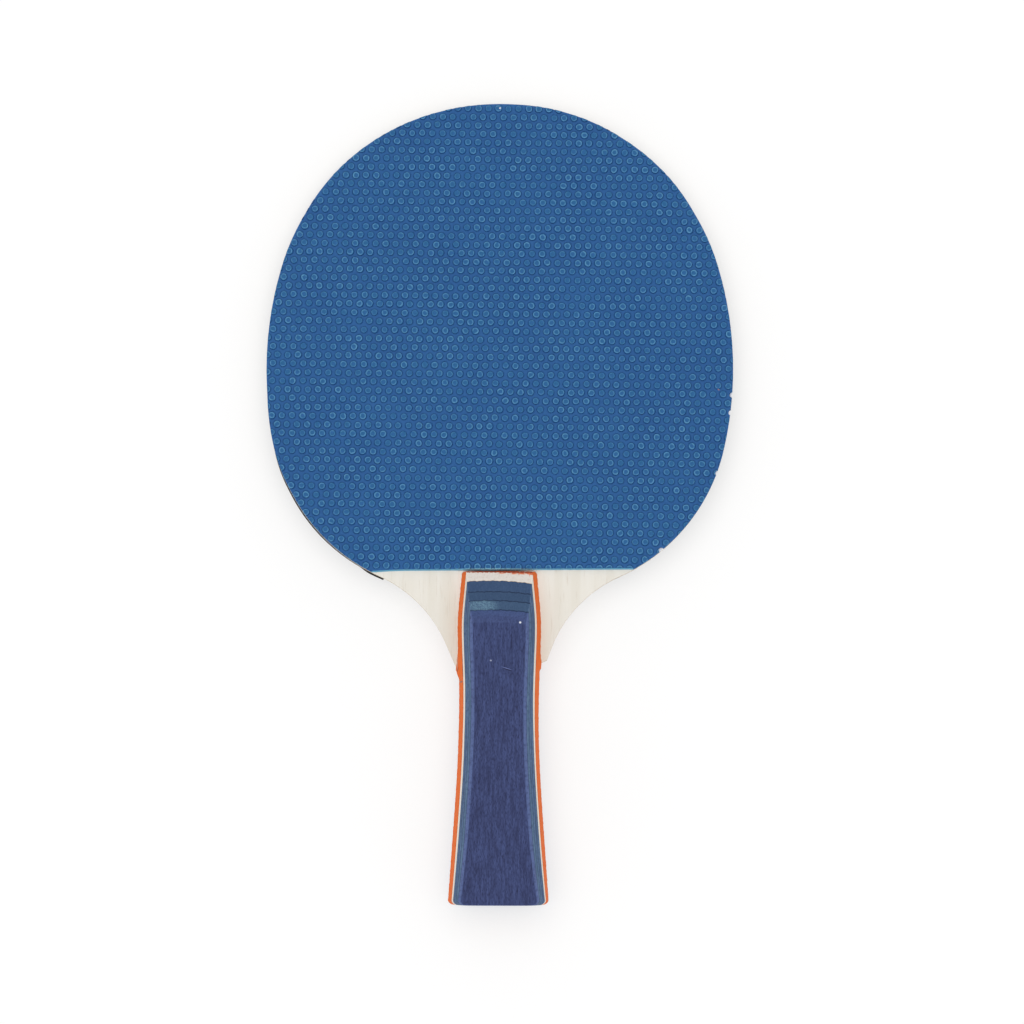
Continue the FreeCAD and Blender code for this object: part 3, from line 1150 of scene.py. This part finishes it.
# %% [markdown]
# ## The handle scales
#
# A scale starts as a block of six veneers glued flat: orange, cream, three blues and a navy face. It is
# planed down both sides, so each ply shows a strip of its edge along the handle, and sanded off at a
# low angle at the head end, where the same plies come out as broad bands. So every ply is skinned over
# its own outline at a few heights, and both cuts come from one rule for that outline: how far in the
# side lies at a height, and how far back the ramp lies at that height.

# %% Set the planing and the ramp
FRONT_END_Y = round(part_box("front_orange_ply")[1][1] / MM, 3)
REAR_END_Y = round(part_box("rear_orange_ply")[1][1] / MM, 3)
PLY_NAMES = ("orange_ply", "cream_ply", "blue_ply_lower", "blue_ply_middle", "blue_ply_upper", "navy_ply")
PLY_TOPS = [layer_heights("front_" + name)[1] - BLADE_FACE for name in PLY_NAMES]
PLY_LEVELS = [0.0] + PLY_TOPS
PLANED_INSETS = (0.0, 1.38, 1.92, 2.56, 3.14, 3.86, 4.66)
RIGHT_THINNING = (0.0, 0.16, 0.26, 0.12, 0.0, 0.0, 0.0)
BUTT_NARROWING = {-1: 0.16, 1: 0.26}
RAMP_BACK = 1 / math.tan(math.radians(20.0))
RAMP_SET_BACK = 0.3
HEAD_CORNER_X = 11.35
HEAD_CORNER_SLOPE = 0.9
TOP_ROUNDING = 0.45
print("head ends at", FRONT_END_Y, REAR_END_Y, "ply tops above the blade:", [round(t, 2) for t in PLY_TOPS])


# %% Rules for the planed side and the ramp
def rounded_off(height):
    """0 below the rounding of the scale's top edge, 1 at the very top, as a quarter circle."""
    eased = np.clip((height - PLY_TOPS[-1] + TOP_ROUNDING) / TOP_ROUNDING, 0, 1)
    return 1 - math.sqrt(1 - eased**2)


def side_inset(height, y, side):
    """How far in the planed side lies: less near the butt, and eased at the top edge."""
    narrower = 1 - BUTT_NARROWING[side] * ease_in(y, -106.0, -22.0) ** 1.5
    thinner = np.interp(height, PLY_LEVELS, RIGHT_THINNING) * ease_in(y, -60.0, -15.0) * (side > 0)
    return np.interp(height, PLY_LEVELS, PLANED_INSETS) * narrower - thinner + 0.12 * rounded_off(height)


def head_end(x, height, end_y):
    """Where the scale starts at each x: upright through the orange ply, then the crowned ramp."""
    if height <= PLY_TOPS[0]:
        torn = np.sin(x * 5.3 + height) * np.sin(x * 2.1 + 0.7) + 0.7 * np.sin(x * 7.1 - 2 * height)
        return end_y - 0.26 + 0.12 * torn + 0.1 * (x > -1.5) * (x < 6.0)
    crown = 0.0045 * (x + 2.0) ** 2 * np.where(x > -2.0, 1.35, 0.8)
    ripple = 0.07 * np.sin(x * 1.9 + height * 2.3) + 0.05 * np.sin(x * 4.3 - height * 3.1)
    back = (height - PLY_TOPS[0]) * RAMP_BACK + 0.9 * rounded_off(height)
    fade = min(1.0, (height - PLY_TOPS[0]) / 0.8)
    frayed = 0.16 * np.sin(x * 6.1) * np.sin(x * 1.7 + 1.0) + 0.2 * ease_in(x, -1.0, 6.0)
    return end_y - RAMP_SET_BACK - back - fade * (crown + ripple) - (1 - fade) * (0.2 + frayed)


# %% [markdown]
# Two places on the handle were never planed flush: a run of glue and dyed splinter stands out beside
# the left shoulder, and the right side has a small step where the shoulder ends. Both are swellings of
# the orange ply alone, so they are added to its half width, and so is the chatter that the plane left.

# %% Find a scale's half width
DYE_RUN = 0.95
SHOULDER_STEP = 0.45
CORNER_LEAN = 0.25
CORNER_BLUNT = 0.25


def swelling(y, height, side):
    """What the plane left standing on one side of the front scale's orange ply."""
    low = max(0.0, 1.0 - height / 3.2)
    chatter = 0.06 * np.sin(1.9 * y + side) * np.sin(0.53 * y) + 0.04 * np.sin(4.1 * y)
    if side < 0:
        return DYE_RUN * ease_in(y, -45.5, -7.4) ** 1.5 * ease_in(y, -56.3, 3.0) * low + chatter
    return SHOULDER_STEP * (y > -53.3) * ease_in(y, -47.5, -3.0) * low + chatter


def half_width(y, height, end_y, side, swell):
    """The lesser of the planed side and the trimmed head corner, with a blunt turn between them."""
    half = handle_half(y) - side_inset(height, y, side)
    if swell:
        half = half + swelling(y, height, side)
    corner_line = HEAD_CORNER_X + (end_y - y) * HEAD_CORNER_SLOPE - CORNER_LEAN * height / PLY_TOPS[0]
    gap = np.abs(half - corner_line)
    blunted = np.clip(CORNER_BLUNT - gap, 0, None) ** 2 / (4 * CORNER_BLUNT)
    return np.minimum(half, corner_line) - blunted


# %% Draw a scale's outline at one height
SIDE_POINTS, HEAD_POINTS, BUTT_POINTS = 170, 57, 13


def scale_outline(height, end_y, break_edge=0.0, swell=False):
    """The scale's outline at a height, clockwise: head end, right side, butt, left side.

    A side starts where it meets the head end, and three rounds of going from one to the other find that.
    """
    spread = np.linspace(0, 1, SIDE_POINTS) ** 1.2
    runs = []
    for side in (1, -1):
        first = head_end(np.array([side * 10.0]), height, end_y)[0]
        for _ in range(3):
            reach = half_width(np.array([first]), height, end_y, side, swell)[0] - break_edge
            first = head_end(np.array([side * reach]), height, end_y)[0] - break_edge
        y = first + (SIDE_END_Y - first) * spread
        half = half_width(y, height, end_y, side, swell) - break_edge
        corner = butt_corner(half[-1], BUTT_CORNER, BUTT_Y + break_edge)
        run = np.vstack([np.column_stack([half, y]), corner])
        runs.append(run * (side, 1))
    right, left = runs
    head_x = np.linspace(left[0, 0], right[0, 0], HEAD_POINTS)[1:-1]
    head = np.column_stack([head_x, head_end(head_x, height, end_y) - break_edge])
    butt_x = np.linspace(right[-1, 0], left[-1, 0], BUTT_POINTS)[1:-1]
    butt = np.column_stack([butt_x, np.full(len(butt_x), right[-1, 1])])
    return crowned_butt(np.vstack([head, right, butt, left[::-1]]))


# %% Skin one ply of a scale
GROOVE = 0.035
FACE_RIM = ((0.05, 0.7), (0.3, 0.0))


def scale_ply(name, index, end_y, swell):
    """One ply of a scale, above the blade's front face; the grooves between plies are its broken edges.

    The face ply has no groove at its top. Its edge is rounded, and then two rings inside the rim let the
    planed tone fade out.
    """
    bottom, top = PLY_LEVELS[index : index + 2]
    is_face = index == len(PLY_NAMES) - 1
    just_above = bottom + 0.001 * (index > 0)
    courses = [(just_above, bottom, GROOVE, 1.0)]
    if is_face:
        rounding = TOP_ROUNDING * np.sin(np.radians(np.linspace(0, 90, 6)))[1:]
        upright = np.linspace(bottom + GROOVE, top - TOP_ROUNDING, 4)
        heights = np.concatenate([upright, top - TOP_ROUNDING + rounding])
    else:
        heights = np.linspace(bottom + GROOVE, top - GROOVE, 5)
    courses += [(min(height, top), height, 0.0, 1.0) for height in heights]
    courses += [(top, top, inset, wear_and_painted_light) for inset, wear_and_painted_light in (FACE_RIM if is_face else ((GROOVE, 1.0),))]
    rings = [
        at_height(scale_outline(cut_at, end_y, inset, swell), BLADE_FACE + height)
        for cut_at, height, inset, _ in courses
    ]
    painted = [np.full(len(rings[0]), wear_and_painted_light) for *_, wear_and_painted_light in courses]
    at_head = np.arange(len(rings[0])) < HEAD_POINTS - 2
    ring_tops = np.array([ring[0, 2] - BLADE_FACE - bottom for ring in rings])
    dye_back = 0.75 * np.clip(ring_tops / (0.8 * (top - bottom)), 0, 1) * is_face
    on_ramp = [at_head * (1.0 - back) for back in dye_back]
    painted = [wear_and_painted_light * np.where(at_head, 1.0 - back, 1.0) for wear_and_painted_light, back in zip(painted, dye_back)]
    return skin_rings(name, rings, {"sanded": painted, "ramp_cut": on_ramp})


# %% [markdown]
# ### The dyed veneers
#
# The dye goes in unevenly: the orange is nearly flat, the cream is bare wood, the blues are streaked
# where the planing went through darker and paler cells, and the navy face has taken most dye of all in
# its pores. Along its rim the plane has cut through to paler wood, a soft periwinkle line.
#
# Beside the left shoulder, splinters show in the run of orange dye. At the head end, sanding has dragged
# smears of the orange over the cream.

# %% Mix the orange and the cream veneer
def ply_bounds(name):
    return layer_heights("front_" + name)


orange_veneer = veneer(
    "orange_veneer", pale=(228, 106, 46), deep=(212, 92, 38), pore=(160, 62, 30), sanded=(226, 108, 44),
    glue=(150, 66, 40), bounds_mm=ply_bounds("orange_ply"), ramp=(214, 70, 34),
    streak=(0.8, 10.0), pores=(0.2, 1.8, 0.3), pore_depth=0.4, glue_width=0.06, roughness=0.5,
)
SPLINTER_MARKS = (
    (-13.45, -51.3, 86.0, 3.0, 0.16, (190, 152, 132)),
    (-13.3, -53.2, 82.0, 1.1, 0.13, (110, 66, 50)),
    (-12.2, -57.1, 20.0, 0.7, 0.45, (164, 108, 92)),
    (13.6, -43.3, 90.0, 0.5, 0.16, (120, 56, 36)),
)
put_marks(orange_veneer, SPLINTER_MARKS)
cream_veneer = veneer(
    "cream_veneer", pale=(234, 228, 216), deep=(222, 210, 196), pore=(188, 166, 144), sanded=(232, 224, 212),
    glue=(206, 190, 172), bounds_mm=ply_bounds("cream_ply"), ramp=(219, 212, 206),
    streak=(0.7, 6.0), pores=(0.22, 0.7, 0.45), pore_depth=0.4, glue_width=0.05,
)
ORANGE_SMEARS = (
    (10.2, -22.5, -8.0, 2.3, 0.42, (212, 112, 74)),
    (11.1, -22.9, 88.0, 0.6, 0.16, (214, 124, 90)),
    (9.6, -22.9, 92.0, 0.5, 0.14, (216, 132, 98)),
    (7.2, -22.4, -4.0, 1.7, 0.3, (212, 124, 90)),
    (6.3, -22.6, 85.0, 0.4, 0.16, (212, 128, 94)),
    (4.7, -22.4, 3.0, 1.3, 0.32, (214, 134, 104)),
    (0.8, -22.3, 0.0, 1.4, 0.26, (216, 156, 134)),
)
put_marks(cream_veneer, ORANGE_SMEARS)
print("marks on the orange and the cream:", len(SPLINTER_MARKS), len(ORANGE_SMEARS))

# %% Mix the three blues
VENEERS = {"orange_ply": orange_veneer, "cream_ply": cream_veneer}
BLUE_GLUE = (36, 52, 78)
# Each row: which blue, then its pale, deep, pore, sanded and ramp colours.
BLUES = (
    ("lower", (62, 84, 120), (52, 72, 106), (38, 54, 84), (92, 118, 152), (53, 76, 110)),
    ("middle", (64, 86, 120), (52, 72, 104), (38, 54, 84), (92, 118, 154), (52, 75, 106)),
    ("upper", (68, 94, 126), (56, 80, 110), (40, 58, 86), (94, 120, 151), (58, 82, 113)),
)
for name, pale, deep, pore, sanded, ramp in BLUES:
    ply = "blue_ply_" + name
    VENEERS[ply] = veneer(
        "blue_veneer_" + name, pale, deep, pore, sanded, BLUE_GLUE, ply_bounds(ply), ramp,
        streak=(0.45, 12.0), pores=(0.16, 1.6, 0.45), glue_width=0.09, uneven=0.7,
    )
print("blue veneers:", len(BLUES))

# %% [markdown]
# The navy face carries the marks of use: two specks of lint, one short scratch with its painted shadow,
# and a long dent painted as a dark line of shade. On the upper blue ply, half of the ramp has taken its
# dye thinly and shows paler fibres.

# %% Mix the navy face, and thin the dye on the upper blue ramp
VENEERS["navy_ply"] = veneer(
    "navy_veneer", pale=(64, 76, 122), deep=(50, 58, 97), pore=(34, 38, 70), sanded=(88, 105, 153),
    glue=(40, 54, 84), bounds_mm=(ply_bounds("navy_ply")[0], HANDLE_TOP + 2.0), ramp=(60, 78, 122),
    streak=(0.6, 6.0), pores=(0.18, 1.2, 0.55), glue_width=0.09, roughness=0.5,
)
NAVY_MARKS = (
    (6.7, -38.2, 0.0, 0.46, 0.42, (225, 228, 236)),
    (-2.7, -50.4, 0.0, 0.4, 0.34, (150, 156, 180)),
    (2.4, -52.9, -17.0, 2.2, 0.17, (98, 112, 162)),
    # The scratch's painted shadow, then the dent, painted as a dark line of shade.
    (2.6, -53.3, -17.0, 2.0, 0.2, (36, 38, 66)),
    (4.0, -44.0, 90.0, 5.0, 0.14, (36, 40, 74)),
)
put_marks(VENEERS["navy_ply"], NAVY_MARKS)

THIN_BLUE = (106, 140, 162)
_, tree, shader, place, colour = VENEERS["blue_ply_upper"]
patch = {"Place": place, "Centre": (-5.6, -32.8, 0.0), "Half length": 6.5, "Half width": 2.6}
fibres = ramp_between(squeezed_noise(place, 0.22, 0.7, 2.0), 0.25, 0.75)
thin_dye = times(use_group(tree, mark_group, patch)["Mark"], fibres)
front_only = calc("GREATER_THAN", part(place, 2), 0.0)
thin_dye = times(times(thin_dye, front_only), attribute(tree, "ramp_cut")["Fac"])
tree.links.new(blend_colours(thin_dye, colour, paint(*THIN_BLUE)), shader.inputs["Base Color"])
print("veneers ready:", len(VENEERS))

# %% Skin all twelve plies
for index, ply in enumerate(PLY_NAMES):
    piece_name = ply.replace("ply", "veneer")
    front = scale_ply("front_" + piece_name, index, FRONT_END_Y, index == 0)
    rear = turned_under(scale_ply("rear_" + piece_name, index, REAR_END_Y, False))
    for side, piece in (("front_", front), ("rear_", rear)):
        settle(piece, side + ply, VENEERS[ply][0])
print("handle plies skinned:", 2 * len(PLY_NAMES))

# %% Note how far the lowest point stands above the floor
bpy.context.view_layer.update()
on_floor = (rear_sheet, bpy.data.objects["rear_navy_veneer"])
lowest = min(v.co.z / MM - floor_height(v.co.y / MM) for piece in on_floor for v in piece.data.vertices)
print("lowest point above the floor, mm:", round(lowest, 3))
